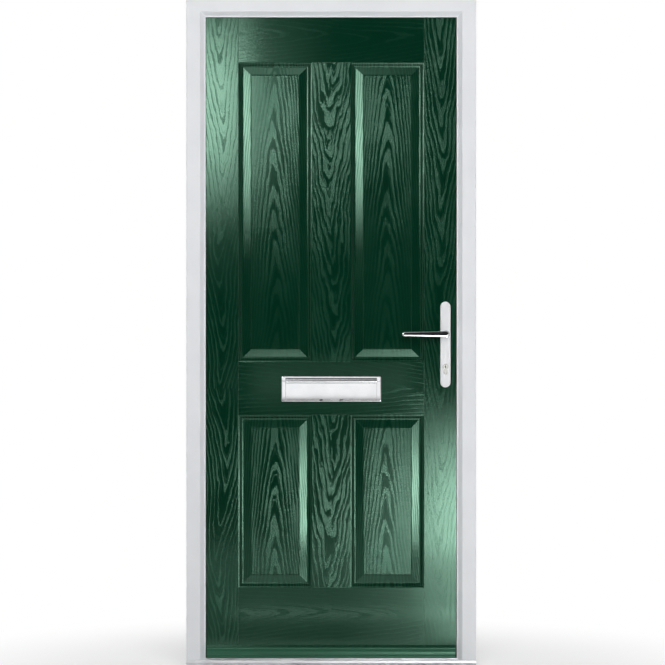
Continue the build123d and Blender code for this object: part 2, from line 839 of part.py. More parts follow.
# Soft strip under the leaf, on the house side
with BuildPart() as drop_seal:
    with BuildSketch(Plane.YZ.offset(-leaf_x + leaf_gap)):
        seal_height = leaf_bottom - rebate_floor - seal_gap
        with Locations((leaf_back - drop_seal_width, leaf_bottom - seal_height / 2)):
            Trapezoid(drop_seal_width, seal_height, drop_seal_angle, rotation=180)
    extrude(amount=2 * (leaf_x - leaf_gap))
drop_seal.part.label = "drop_seal"
export_step(drop_seal.part, "parts/drop_seal.step")

# Weather bar: sloping top with a round nose, hollowed face, lip and drip groove below
bar_half_length = leaf_x - bar_inset
bar_front = leaf_front - bar_reach
bar_top = bar_bottom + bar_height
bar_face = bar_front + bar_lip
nose_top = bar_top - bar_top_fall
face_bottom = bar_bottom + 2 * bar_nose
lip_bottom = bar_bottom + bar_lip / 2
groove_front = bar_front + bar_nose
groove_back = groove_front + drip_groove
groove_top = bar_bottom + drip_groove
with BuildPart() as weather_bar:
    with BuildSketch(Plane.YZ.offset(-bar_half_length)) as bar_section:
        with BuildLine():
            Polyline((bar_face, nose_top - bar_nose), (bar_face, nose_top), (leaf_front, bar_top),
                     (leaf_front, bar_bottom), (groove_back, bar_bottom), (groove_back, groove_top),
                     (groove_front, groove_top), (groove_front, lip_bottom), (bar_front, lip_bottom),
                     (bar_front, face_bottom - bar_lip), (bar_face, face_bottom))
            SagittaArc((bar_face, face_bottom), (bar_face, nose_top - bar_nose), -bar_hollow)
        make_face()
        fillet(bar_section.vertices().sort_by_distance((bar_face, nose_top))[0], bar_nose)
    extrude(amount=2 * bar_half_length)
    with BuildSketch(Plane.YZ.offset(-bar_half_length + bar_wall)):
        with BuildLine():
            room_front = bar_face + bar_hollow + bar_wall
            Polyline(
                (leaf_front - bar_wall, bar_bottom + bar_wall),
                (leaf_front - bar_wall, bar_top - bar_top_fall - bar_wall),
                (room_front, bar_top - 2 * bar_top_fall - bar_wall),
                (room_front, groove_top + bar_wall),
                (groove_back + bar_wall, groove_top + bar_wall),
                (groove_back + bar_wall, bar_bottom + bar_wall),
                close=True,
            )
        make_face()
    extrude(amount=2 * (bar_half_length - bar_wall), mode=Mode.SUBTRACT)
weather_bar.part.label = "weather_bar"
export_step(weather_bar.part, "parts/weather_bar.step")

# Letterplate, outside half
letter_front = leaf_front - letter_thickness
flap_axis_z = letter_z[1] - letter_border - flap_barrel - flap_room
flap_axis_y = leaf_front - letter_floor - flap_barrel - flap_room
flap_bottom = flap_axis_z - flap_drop
window_bottom = flap_bottom - flap_room
throat_z = (plate_centre - slot_height / 2 + sleeve_wall, plate_centre + slot_height / 2 - sleeve_wall)
throat_x = (-slot_width / 2 + sleeve_wall, slot_width / 2 - sleeve_wall)
window_x = (-flap_width / 2 - flap_room, flap_width / 2 + flap_room)
letter_screw_points = [
    (side * letter_screw_x, leaf_back + inner_letter_thickness, plate_centre) for side in (-1, 1)
]
screw_holes = (screw + screw_room, screw_head + screw_room)
letter_screw_length = leaf_back + inner_letter_thickness - letter_front - 2 * letter_floor
flap_front = flap_axis_y - flap_thickness


def rounded_plate(plane, centre, width, height, corner, thickness):
    """A flat plate with rounded corners."""
    with BuildPart() as plate:
        with BuildSketch(plane):
            with Locations(centre):
                RectangleRounded(width, height, corner)
        extrude(amount=thickness)
    return plate.part


def rod_along_x(y, z, radius, length):
    """A round bar along the door's width, or the hole for one."""
    with BuildPart() as rod:
        with Locations(Plane(origin=(0, y, z), z_dir=(1, 0, 0))):
            Cylinder(radius, length)
    return rod.part


with BuildPart() as letterplate_outer:
    add(rounded_plate(Plane.XZ.offset(-leaf_front), (0, plate_centre), letter_width, letter_height,
                      letter_round, letter_thickness))
    fillet(letterplate_outer.faces().sort_by(Axis.Y)[0].edges(), letter_edge_round)
    add(block(window_x, (letter_front - past, leaf_front - letter_floor),
              (window_bottom, flap_axis_z + flap_barrel + flap_room)), mode=Mode.SUBTRACT)
    add(block(throat_x, (letter_front, leaf_front + past), throat_z), mode=Mode.SUBTRACT)
    tab_x = (-flap_tab_width / 2 - flap_room, flap_tab_width / 2 + flap_room)
    add(block(tab_x, (letter_front - past, flap_front + flap_thickness + flap_room),
              (window_bottom - flap_tab - flap_room, window_bottom + past)), mode=Mode.SUBTRACT)
    for side in (-1, 1):
        notch_centre = side * (flap_tab_width + notch_width) / 2
        add(block((notch_centre - notch_width / 2, notch_centre + notch_width / 2),
                  (letter_front - past, leaf_front - letter_floor),
                  (window_bottom - notch_height, window_bottom + past)), mode=Mode.SUBTRACT)
    add(rod_along_x(flap_axis_y, flap_axis_z, flap_pin, letter_width - 2 * letter_floor),
        mode=Mode.SUBTRACT)
    add(pegs(letter_screw_points, (0, 1, 0), letter_screw_length, *screw_holes), mode=Mode.SUBTRACT)
letterplate_outer.part.label = "letterplate_outer"
export_step(letterplate_outer.part, "parts/letterplate_outer.step")

with BuildPart() as outer_flap:
    add(rod_along_x(flap_axis_y, flap_axis_z, flap_barrel, flap_width))
    add(block((-flap_width / 2, flap_width / 2), (flap_front, flap_front + flap_thickness),
              (flap_bottom, flap_axis_z)))
    add(block((-flap_tab_width / 2, flap_tab_width / 2), (flap_front, flap_front + flap_thickness),
              (flap_bottom - flap_tab, flap_bottom)))
    fillet(outer_flap.edges().filter_by(Axis.X).group_by(Axis.Z)[0].sort_by(Axis.Y)[0], flap_thickness / 2)
    add(rod_along_x(flap_axis_y, flap_axis_z, flap_pin + running_gap, letter_width), mode=Mode.SUBTRACT)
outer_flap.part.label = "outer_flap"
export_step(outer_flap.part, "parts/outer_flap.step")

with BuildPart() as letterplate_sleeve:
    add(block((-slot_width / 2, slot_width / 2), (leaf_front, leaf_back),
              (plate_centre - slot_height / 2, plate_centre + slot_height / 2)))
    add(block(throat_x, (leaf_front - past, leaf_back + past), throat_z), mode=Mode.SUBTRACT)
letterplate_sleeve.part.label = "letterplate_sleeve"
export_step(letterplate_sleeve.part, "parts/letterplate_sleeve.step")

# Letterplate, inside half
inner_letter_back = leaf_back + inner_letter_thickness
inner_axis_y = leaf_back + inner_letter_floor + inner_flap_barrel + flap_room
inner_axis_z = letter_z[1] - letter_border - inner_flap_barrel - flap_room
inner_flap_bottom = inner_axis_z - inner_flap_drop
with BuildPart() as letterplate_inner:
    add(rounded_plate(Plane.XZ.offset(-inner_letter_back), (0, plate_centre), letter_width, letter_height,
                      letter_round, inner_letter_thickness))
    fillet(letterplate_inner.faces().sort_by(Axis.Y)[-1].edges(), letter_edge_round)
    add(block(window_x, (leaf_back + inner_letter_floor, inner_letter_back + past),
              (inner_flap_bottom - flap_room, inner_axis_z + inner_flap_barrel + flap_room)),
        mode=Mode.SUBTRACT)
    add(block(throat_x, (leaf_back - past, inner_letter_back), throat_z), mode=Mode.SUBTRACT)
    add(rod_along_x(inner_axis_y, inner_axis_z, flap_pin, letter_width - 2 * letter_floor),
        mode=Mode.SUBTRACT)
    add(pegs(letter_screw_points, (0, 1, 0), letter_screw_length, *screw_holes), mode=Mode.SUBTRACT)
letterplate_inner.part.label = "letterplate_inner"
export_step(letterplate_inner.part, "parts/letterplate_inner.step")

with BuildPart() as inner_flap:
    add(rod_along_x(inner_axis_y, inner_axis_z, inner_flap_barrel, flap_width))
    add(block((-flap_width / 2, flap_width / 2), (inner_axis_y, inner_axis_y + flap_thickness),
              (inner_flap_bottom, inner_axis_z)))
    add(rod_along_x(inner_axis_y, inner_axis_z, flap_pin + running_gap, letter_width), mode=Mode.SUBTRACT)
inner_flap.part.label = "inner_flap"
export_step(inner_flap.part, "parts/inner_flap.step")

with BuildPart() as flap_pins:
    add(rod_along_x(flap_axis_y, flap_axis_z, flap_pin, letter_width - 2 * letter_floor))
    add(rod_along_x(inner_axis_y, inner_axis_z, flap_pin, letter_width - 2 * letter_floor))
flap_pins.part.label = "flap_pins"
export_step(flap_pins.part, "parts/flap_pins.step")

with BuildPart() as letterplate_screws:
    add(pegs(letter_screw_points, (0, 1, 0), letter_screw_length, screw, screw_head))
letterplate_screws.part.label = "letterplate_screws"
export_step(letterplate_screws.part, "parts/letterplate_screws.step")

# Handle plates: hollow castings, with bosses for the screws and the lever's neck
plate_middle = plate_bottom + plate_height / 2


def handle_plate():
    """The outer handle plate, hollow behind."""
    with BuildPart() as plate:
        with BuildSketch(Plane.XZ.offset(-leaf_front)):
            with Locations((spindle_x, plate_middle)):
                SlotOverall(plate_height, plate_width, rotation=90)
        extrude(amount=plate_thickness)
        fillet(plate.faces().sort_by(Axis.Y)[0].edges(), plate_round)
        with BuildSketch(Plane.XZ.offset(-leaf_front)):
            with Locations((spindle_x, plate_middle)):
                SlotOverall(plate_height - 2 * plate_wall, plate_width - 2 * plate_wall, rotation=90)
            with Locations((spindle_x, spindle_height)):
                Circle(neck_root, mode=Mode.SUBTRACT)
            with Locations(*((spindle_x, height) for height in plate_screw_heights)):
                Circle(2 * bolt, mode=Mode.SUBTRACT)
        extrude(amount=plate_hollow, mode=Mode.SUBTRACT)
        add(cylinder_prism(leaf_front - plate_thickness - past, leaf_front + past, lock_fit),
            mode=Mode.SUBTRACT)
        add(rod_along_y(spindle_x, spindle_height, neck + 2 * running_gap,
                        leaf_front - plate_thickness - past, leaf_front + past), mode=Mode.SUBTRACT)
    return plate.part


plate_screw_points = [(spindle_x, leaf_back + plate_thickness, height) for height in plate_screw_heights]
plate_screw_length = leaf_thickness + 2 * plate_thickness - plate_round
plate_screw_holes = pegs(plate_screw_points, (0, 1, 0), plate_screw_length, bolt + screw_room,
                         bolt_head + screw_room)

with BuildPart() as handle_plate_outer:
    add(handle_plate())
    add(plate_screw_holes, mode=Mode.SUBTRACT)
handle_plate_outer.part.label = "handle_plate_outer"
export_step(handle_plate_outer.part, "parts/handle_plate_outer.step")

with BuildPart() as handle_plate_inner:
    mirror(handle_plate(), about=mirror_plane)
    add(plate_screw_holes, mode=Mode.SUBTRACT)
handle_plate_inner.part.label = "handle_plate_inner"
export_step(handle_plate_inner.part, "parts/handle_plate_inner.step")

with BuildPart() as handle_screws:
    add(pegs(plate_screw_points, (0, 1, 0), plate_screw_length, bolt, bolt_head))
handle_screws.part.label = "handle_screws"
export_step(handle_screws.part, "parts/handle_screws.step")

# Levers
neck_start = leaf_front - neck_gap
bar_y = leaf_front - plate_thickness - neck_out
tip_x = spindle_x - lever_length


def lever():
    """The outer lever: a round neck, and a bar that narrows to a round tip."""
    with BuildPart() as handle:
        with BuildSketch(Plane.XZ.offset(-bar_y - lever_depth / 2)):
            with Locations((spindle_x, spindle_height)):
                Circle(lever_height / 2)
            with Locations((tip_x + lever_tip_height / 2, spindle_height)):
                Circle(lever_tip_height / 2)
            make_hull()
        extrude(amount=lever_depth)
        fillet(handle.faces().sort_by(Axis.Y)[0].edges(), lever_front_round)
        fillet(handle.faces().sort_by(Axis.Y)[-1].edges(), lever_back_round)
        add(rod_along_y(spindle_x, spindle_height, neck, bar_y, neck_start))
        with Locations((spindle_x, neck_start, spindle_height)):
            Box(spindle + 2 * spindle_fit, 2 * spindle_into_lever, spindle + 2 * spindle_fit,
                mode=Mode.SUBTRACT)
    return handle.part


with BuildPart() as lever_outer:
    add(lever())
lever_outer.part.label = "lever_outer"
export_step(lever_outer.part, "parts/lever_outer.step")

with BuildPart() as lever_inner:
    mirror(lever(), about=mirror_plane)
lever_inner.part.label = "lever_inner"
export_step(lever_inner.part, "parts/lever_inner.step")

spindle_half = leaf_middle - neck_start + spindle_into_lever - neck_gap
with BuildPart() as spindle_bar:
    with Locations((spindle_x, leaf_middle, spindle_height)):
        Box(spindle, 2 * spindle_half, spindle)
    chamfer(spindle_bar.edges().filter_by(Axis.Y), spindle_edge)
spindle_bar.part.label = "spindle"
export_step(spindle_bar.part, "parts/spindle.step")

# Lock follower: hub on the spindle, with an arm that draws the latch back
case_inside_y = (case_y[0] + case_wall, case_y[1] - case_wall)
with BuildPart() as follower:
    add(rod_along_y(spindle_x, spindle_height, follower_hub, *case_y))
    arm_half = (case_inside_y[1] - case_inside_y[0]) / 2 - lock_fit
    add(block((spindle_x - arm_width / 2, spindle_x + arm_width / 2),
              (leaf_middle - arm_half / 2, leaf_middle + arm_half / 2),
              (spindle_height, spindle_height + follower_arm)))
    with Locations((spindle_x, leaf_middle, spindle_height)):
        Box(spindle + 2 * spindle_fit, 2 * case_width, spindle + 2 * spindle_fit, mode=Mode.SUBTRACT)
follower.part.label = "follower"
export_step(follower.part, "parts/follower.step")

# Latch: bevelled towards the outside, with a tail that reaches back over the follower's arm
latch_back = leaf_x + latch_throw - latch_body
lug_x = spindle_x - arm_width / 2 - arm_gap
tail_z = (spindle_height + follower_arm + 2 * arm_gap, spindle_height + follower_arm + 2 * arm_gap + tail)
with BuildPart() as latch_bolt:
    with BuildSketch(Plane.XY.offset(latch_z[0])):
        with BuildLine():
            Polyline(
                (latch_back, latch_y[0]),
                (leaf_x, latch_y[0]),
                (leaf_x + latch_throw, latch_y[1] - bolt_room),
                (leaf_x + latch_throw, latch_y[1]),
                (latch_back, latch_y[1]),
                close=True,
            )
        make_face()
    extrude(amount=latch_height)
    tail_y = (leaf_middle - tail, leaf_middle + tail)
    add(block((latch_back, latch_back + 2 * tail), tail_y, (latch_z[1] - tail, tail_z[1])))
    add(block((lug_x - tail, latch_back + tail), tail_y, tail_z))
    add(block((lug_x - tail, lug_x), tail_y, (spindle_height + follower_hub + tail, tail_z[1])))
latch_bolt.part.label = "latch_bolt"
export_step(latch_bolt.part, "parts/latch_bolt.step")

with BuildPart() as deadbolt:
    add(block((leaf_x - lock_fit - bolt_body, leaf_x - lock_fit), latch_y, bolt_z))
    chamfer(deadbolt.faces().sort_by(Axis.X)[-1].edges(), bolt_chamfer)
deadbolt.part.label = "deadbolt"
export_step(deadbolt.part, "parts/deadbolt.step")

# Lock case: a folded steel box, open where the bolts leave it
with BuildPart() as lock_case:
    add(block((case_back_x, case_front_x), case_y, (case_bottom, case_top)))
    add(block((case_back_x + case_wall, case_front_x - case_wall), case_inside_y,
              (case_bottom + case_wall, case_top - case_wall)), mode=Mode.SUBTRACT)
    add(rod_along_y(spindle_x, spindle_height, follower_hub + running_gap, case_y[0] - past, case_y[1] + past),
        mode=Mode.SUBTRACT)
    add(cylinder_prism(case_y[0] - past, case_y[1] + past, lock_fit), mode=Mode.SUBTRACT)
    for window in bolt_windows((case_front_x - 2 * case_wall, case_front_x + past), lock_fit, lock_fit):
        add(window, mode=Mode.SUBTRACT)
    add(cylinder_screw_hole, mode=Mode.SUBTRACT)
lock_case.part.label = "lock_case"
export_step(lock_case.part, "parts/lock_case.step")

hook_case_back = case_front_x - hook_case_depth
with BuildPart() as hook_cases:
    for pivot in hook_heights.values():
        add(block((hook_case_back, case_front_x), case_y, (pivot - hook_case_half, pivot + hook_case_half)))
        add(block((hook_case_back + case_wall, case_front_x + past), case_inside_y,
                  (pivot - hook_case_half + case_wall, pivot + hook_case_half - case_wall)),
            mode=Mode.SUBTRACT)
        add(rod_along_y(hook_x, pivot, hook_pin, *case_y))
hook_cases.part.label = "hook_cases"
export_step(hook_cases.part, "parts/hook_cases.step")

for name, pivot in hook_heights.items():
    with BuildPart() as hook:
        with BuildSketch(Plane.XZ.offset(-leaf_middle - hook_thickness / 2)):
            half_arm = hook_arm / 2
            with BuildLine():
                Polyline(
                    (hook_x + half_arm, pivot),
                    (hook_x + half_arm, pivot - hook_reach + hook_nose_depth),
                    (hook_x + hook_nose, pivot - hook_reach + hook_nose_depth),
                    (hook_x + hook_nose, pivot - hook_reach),
                    (hook_x - half_arm, pivot - hook_reach + half_arm),
                    (hook_x - half_arm, pivot),
                    close=True,
                )
            make_face()
            with Locations((hook_x, pivot)):
                Circle(half_arm)
                Circle(hook_pin + running_gap, mode=Mode.SUBTRACT)
        extrude(amount=hook_thickness)
    hook.part.label = f"hook_{name}"
    export_step(hook.part, f"parts/hook_{name}.step")

# Faceplate and the two driving strips behind it
with BuildPart() as lock_faceplate:
    add(faceplate_slot(Plane.YZ.offset(face_back_x), 0, faceplate))
    for window in bolt_windows((face_back_x - past, leaf_x + past), lock_fit, 2 * lock_fit):
        add(window, mode=Mode.SUBTRACT)
    add(cylinder_screw_hole, mode=Mode.SUBTRACT)
lock_faceplate.part.label = "lock_faceplate"
export_step(lock_faceplate.part, "parts/lock_faceplate.step")

strip_ends = {
    "bottom": (strip_bottom, case_bottom, -1),
    "top": (latch_z[1] + keep_margin, strip_top, 1),
}
strip_x = (face_back_x - lock_fit - strip, face_back_x - lock_fit)
for name, (low, high, way) in strip_ends.items():
    with BuildPart() as drive_strip:
        add(block(strip_x, strip_y, (low, high)))
        pivot = hook_heights[name]
        window = hook_window(pivot, hook_room)
        travel = sorted((0, -way * strip_travel))
        slot_y = (leaf_middle - hook_thickness / 2 - lock_fit, leaf_middle + hook_thickness / 2 + lock_fit)
        add(block((strip_x[0] - past, strip_x[1] + past), slot_y,
                  (window[0] + travel[0], window[1] + travel[1])), mode=Mode.SUBTRACT)
    drive_strip.part.label = f"drive_strip_{name}"
    export_step(drive_strip.part, f"parts/drive_strip_{name}.step")

# Cylinder
cylinder_front = leaf_front - plate_thickness - cylinder_past_plate
cylinder_back = leaf_back + plate_thickness + cylinder_past_plate
cam_y = (leaf_middle - cam_width / 2, leaf_middle + cam_width / 2)
with BuildPart() as cylinder_body:
    add(cylinder_prism(cylinder_front, cylinder_back, 0))
    add(rod_along_y(spindle_x, key_height, plug + running_gap, cylinder_front - past, cylinder_back + past),
        mode=Mode.SUBTRACT)
    add(rod_along_y(spindle_x, key_height, cam_reach + cam_gap, cam_y[0] - cam_gap, cam_y[1] + cam_gap),
        mode=Mode.SUBTRACT)
    add(cylinder_screw_hole, mode=Mode.SUBTRACT)
cylinder_body.part.label = "cylinder_body"
export_step(cylinder_body.part, "parts/cylinder_body.step")

with BuildPart() as plug_outer:
    add(rod_along_y(spindle_x, key_height, plug, cylinder_front, cam_y[0]))
    add(block((spindle_x - keyway_width / 2, spindle_x + keyway_width / 2),
              (cylinder_front - past, cam_y[0] - 2 * keyway_width),
              (key_height - keyway_height / 2, key_height + keyway_height / 2)), mode=Mode.SUBTRACT)
plug_outer.part.label = "plug_outer"
export_step(plug_outer.part, "parts/plug_outer.step")

with BuildPart() as plug_inner:
    add(rod_along_y(spindle_x, key_height, plug, cam_y[1] + cam_gap, cylinder_back))
    add(block((spindle_x - keyway_width / 2, spindle_x + keyway_width / 2),
              (cam_y[1] + 2 * keyway_width, cylinder_back + past),
              (key_height - keyway_height / 2, key_height + keyway_height / 2)), mode=Mode.SUBTRACT)
plug_inner.part.label = "plug_inner"
export_step(plug_inner.part, "parts/plug_inner.step")

with BuildPart() as cylinder_cam:
    add(rod_along_y(spindle_x, key_height, cam_hub, *cam_y))
    add(block((spindle_x - arm_width / 2, spindle_x + arm_width / 2), cam_y,
              (key_height, key_height + cam_reach - cam_gap)))
cylinder_cam.part.label = "cylinder_cam"
export_step(cylinder_cam.part, "parts/cylinder_cam.step")

with BuildPart() as cylinder_screw:
    add(pegs(cylinder_screw_point, (1, 0, 0), cylinder_screw_length, bolt, bolt_head))
cylinder_screw.part.label = "cylinder_screw"
export_step(cylinder_screw.part, "parts/cylinder_screw.step")
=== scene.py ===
import json
import math

import bmesh
import bpy
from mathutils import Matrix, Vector


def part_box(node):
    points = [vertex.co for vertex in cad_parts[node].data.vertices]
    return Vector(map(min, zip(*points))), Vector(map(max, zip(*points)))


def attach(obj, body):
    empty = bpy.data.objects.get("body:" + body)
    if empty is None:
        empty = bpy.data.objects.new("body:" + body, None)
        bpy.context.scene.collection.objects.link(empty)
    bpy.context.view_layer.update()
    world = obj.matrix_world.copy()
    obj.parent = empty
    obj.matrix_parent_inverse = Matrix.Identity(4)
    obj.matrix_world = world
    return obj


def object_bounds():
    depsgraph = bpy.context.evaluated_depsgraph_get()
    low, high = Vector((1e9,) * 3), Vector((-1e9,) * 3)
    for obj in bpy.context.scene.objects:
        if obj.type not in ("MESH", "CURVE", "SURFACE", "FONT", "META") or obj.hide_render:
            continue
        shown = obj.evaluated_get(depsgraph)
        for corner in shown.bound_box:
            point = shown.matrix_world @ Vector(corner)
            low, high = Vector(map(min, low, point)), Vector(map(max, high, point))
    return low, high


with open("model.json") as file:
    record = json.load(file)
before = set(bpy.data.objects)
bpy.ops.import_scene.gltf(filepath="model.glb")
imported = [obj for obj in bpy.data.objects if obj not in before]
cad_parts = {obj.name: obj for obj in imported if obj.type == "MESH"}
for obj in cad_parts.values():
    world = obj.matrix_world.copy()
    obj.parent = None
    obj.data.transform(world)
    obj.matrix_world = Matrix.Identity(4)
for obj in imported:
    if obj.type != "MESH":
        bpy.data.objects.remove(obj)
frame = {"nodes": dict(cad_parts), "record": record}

cad_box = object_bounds()


# Node trees

class Nodes:
    """A node tree under construction. A value may be a number, a colour or another node's output."""

    MIX_SOCKETS = {"FLOAT": (2, 0), "RGBA": (6, 2)}     # first of the two inputs, and the output

    def __init__(self, tree):
        self.tree = tree

    def node(self, kind, **settings):
        made = self.tree.nodes.new(kind)
        for key, value in settings.items():
            setattr(made, key, value)
        return made

    def put(self, value, socket):
        if isinstance(value, bpy.types.NodeSocket):
            self.tree.links.new(value, socket)
        elif socket.type == "RGBA":
            socket.default_value = (*value, 1)
        else:
            socket.default_value = value

    def math(self, operation, *values):
        made = self.node("ShaderNodeMath", operation=operation)
        for value, socket in zip(values, made.inputs):
            self.put(value, socket)
        return made.outputs[0]

    def add(self, total, *others):
        for value in others:
            total = self.math("ADD", total, value)
        return total

    def times(self, total, *others):
        for value in others:
            total = self.math("MULTIPLY", total, value)
        return total

    def minus(self, a, b):
        return self.math("SUBTRACT", a, b)

    def opposite(self, mask):
        return self.minus(1.0, mask)

    def size(self, value):
        return self.math("ABSOLUTE", value)

    def larger(self, a, b):
        return self.math("MAXIMUM", a, b)

    def ramp(self, value, low, high, to_low=0.0, to_high=1.0):
        """A smooth step from one value to another."""
        made = self.node("ShaderNodeMapRange", interpolation_type="SMOOTHSTEP")
        for item, socket in zip((value, low, high, to_low, to_high), made.inputs):
            self.put(item, socket)
        return made.outputs[0]

    def mix(self, data_type, factor, a, b):
        made = self.node("ShaderNodeMix", data_type=data_type)
        first, output = self.MIX_SOCKETS[data_type]
        for value, index in ((factor, 0), (a, first), (b, first + 1)):
            self.put(value, made.inputs[index])
        return made.outputs[output]

    def pick(self, factor, a, b):
        """a where factor is 0, b where it is 1."""
        return self.mix("FLOAT", factor, a, b)

    def colour(self, factor, a, b):
        """The colour a where factor is 0, b where it is 1."""
        return self.mix("RGBA", factor, a, b)

    def join(self, x, y, z):
        made = self.node("ShaderNodeCombineXYZ")
        for item, socket in zip((x, y, z), made.inputs):
            self.put(item, socket)
        return made.outputs[0]

    def split(self, vector):
        made = self.node("ShaderNodeSeparateXYZ")
        self.put(vector, made.inputs[0])
        return made.outputs


class Finish(Nodes):
    """A material under construction. Keywords set the shader's own sockets."""

    RAY_SAMPLES = {"bevel": 4, "painted_recess_shade": 6}
    PAINTED_SHADE_SHARE = 0.06                  # how much of its colour stays where shade is painted into a recess

    def __init__(self, name, **shader):
        self.material = bpy.data.materials.new(name)
        self.material.use_nodes = True
        super().__init__(self.material.node_tree)
        self.shader = self.tree.nodes["Principled BSDF"]
        self.coords = self.node("ShaderNodeTexCoord").outputs["Object"]
        for key, value in shader.items():
            self.put(value, self.shader.inputs[key.replace("_", " ")])

    def stretched(self, x, y, z):
        """Object coordinates, stretched along each axis."""
        made = self.node("ShaderNodeMapping")
        self.put(self.coords, made.inputs["Vector"])
        self.put((x, y, z), made.inputs["Scale"])
        return made.outputs[0]

    def noise(self, scale, vector=None, detail=2.0, roughness=0.5, output="Fac"):
        made = self.node("ShaderNodeTexNoise")
        self.put(self.coords if vector is None else vector, made.inputs["Vector"])
        self.put(scale, made.inputs["Scale"])
        self.put(detail, made.inputs["Detail"])
        self.put(roughness, made.inputs["Roughness"])
        return made.outputs[output]

    def cells(self, scale, output):
        made = self.node("ShaderNodeTexVoronoi")
        self.put(self.coords, made.inputs["Vector"])
        self.put(scale, made.inputs["Scale"])
        return made.outputs[output]

    def rounded(self, radius):
        """The surface's normal, with its edges softened over a radius."""
        bevel = self.node("ShaderNodeBevel", samples=self.RAY_SAMPLES["bevel"])
        self.put(radius, bevel.inputs["Radius"])
        return bevel.outputs[0]

    def relief(self, height, depth, edge=0.0):
        """Bump of a depth in metres, over softened edges of a radius."""
        bump = self.node("ShaderNodeBump")
        self.put(height, bump.inputs["Height"])
        self.put(depth, bump.inputs["Distance"])
        if edge:
            self.put(self.rounded(edge), bump.inputs["Normal"])
        self.put(bump.outputs[0], self.shader.inputs["Normal"])

    def painted_recess_shade(self, colour, distance):
        """A colour with shade painted into it: it turns dark in gaps and recesses, where ambient
        occlusion finds something near.
        """
        open_air = self.node("ShaderNodeAmbientOcclusion", samples=self.RAY_SAMPLES["painted_recess_shade"])
        self.put(distance, open_air.inputs["Distance"])
        dark = tuple(self.PAINTED_SHADE_SHARE * channel for channel in colour)
        return self.colour(self.ramp(open_air.outputs["AO"], 0.25, 0.75), dark, colour)

    def to_world(self, vector):
        made = self.node("ShaderNodeVectorTransform", vector_type="VECTOR",
                         convert_from="OBJECT", convert_to="WORLD")
        self.put(vector, made.inputs[0])
        return made.outputs[0]

    def lean(self, normal, vector):
        """Tilt a normal by a vector, and give it to the shader."""
        sum_of = self.node("ShaderNodeVectorMath", operation="ADD")
        self.put(normal, sum_of.inputs[0])
        self.put(vector, sum_of.inputs[1])
        unit = self.node("ShaderNodeVectorMath", operation="NORMALIZE")
        self.put(sum_of.outputs[0], unit.inputs[0])
        self.put(unit.outputs[0], self.shader.inputs["Normal"])

    def done(self, colour, roughness):
        self.put(colour, self.shader.inputs["Base Color"])
        self.put(roughness, self.shader.inputs["Roughness"])
        return self.material


# Plain finishes: two tones that drift into each other, and a roughness that follows the surface

def plastic(name, low, high, rough, grain=900, depth=0.00001, edge=0.0008, **shader):
    """Moulded or extruded plastic, powder coat or rubber."""
    g = Finish(name, **shader)
    slow = g.noise(7, detail=3)
    fine = g.noise(grain)
    g.relief(fine, depth, edge)
    return g.done(g.colour(g.ramp(slow, 0.3, 0.7), low, high),
                  g.pick(g.ramp(fine, 0.35, 0.65), *rough))


def metal(name, low, high, rough, brushed=(1, 1, 1), scale=60, depth=0.000005, edge=0.0004,
          painted_shade_reach=0.0):
    """Brushed or plated metal, with shade painted darker where something stands nearer than a given
    reach.
    """
    g = Finish(name, Metallic=1.0)
    lines = g.noise(scale, g.stretched(*brushed), detail=4, roughness=0.6)
    slow = g.noise(14)
    g.relief(lines, depth, edge)
    # Painted shade: both tones turn dark in gaps and recesses within that reach
    if painted_shade_reach:
        low, high = g.painted_recess_shade(low, painted_shade_reach), g.painted_recess_shade(high, painted_shade_reach)
    blotch = g.times(g.add(lines, slow), 0.5)
    return g.done(g.colour(g.ramp(blotch, 0.35, 0.65), low, high),
                  g.pick(g.ramp(lines, 0.3, 0.7), *rough))


def timber():
    """Laminated timber: thin layers across the thickness."""
    g = Finish("laminated_timber")
    layers = g.noise(1.0, g.stretched(60, 900, 6), detail=3)
    rings = g.noise(1.0, g.stretched(300, 300, 5), detail=3)
    g.relief(layers, 0.0001, 0.0005)
    tone = g.ramp(g.add(layers, rings), 0.7, 1.3)
    return g.done(g.colour(tone, (0.42, 0.28, 0.15), (0.62, 0.46, 0.28)), g.pick(rings, 0.55, 0.7))


def foam():
    """Rigid foam: small open cells."""
    g = Finish("rigid_foam")
    cells = g.cells(700, "Distance")
    g.relief(cells, 0.0002)
    return g.done(g.colour(g.noise(20), (0.70, 0.60, 0.36), (0.82, 0.74, 0.50)),
                  g.pick(cells, 0.85, 0.95))


def galvanised():
    """Zinc spangle: flat patches that catch the light apart."""
    g = Finish("galvanised_sheet", Metallic=1.0)
    tone = g.split(g.cells(90, "Color"))[0]
    g.relief(g.noise(500), 0.00001, 0.0004)
    return g.done(g.colour(tone, (0.42, 0.44, 0.46), (0.66, 0.68, 0.70)), g.pick(tone, 0.3, 0.5))


# Woodgrain: places on the door that it follows, in metres

STILE_EDGE, STILE_CENTRE = 0.2895, 0.345        # from the door's middle
MULLION_EDGE, PANEL_CENTRE = 0.06, 0.17475
LOCK_RAIL_HEIGHT, RAIL_HALF = 0.87, 0.0825
TALL_CENTRE, TALL_HALF = 1.4195, 0.4665         # the upper panels, upwards
SHORT_CENTRE, SHORT_HALF = 0.51875, 0.26925     # the lower panels
SKIN_EDGE_FROM, SKIN_EDGE_TO = 0.3885, 0.3975   # where the skin rolls over at the leaf's edge
JOINT_WIDTH = 0.0012
EDGE_RADIUS = 0.0006

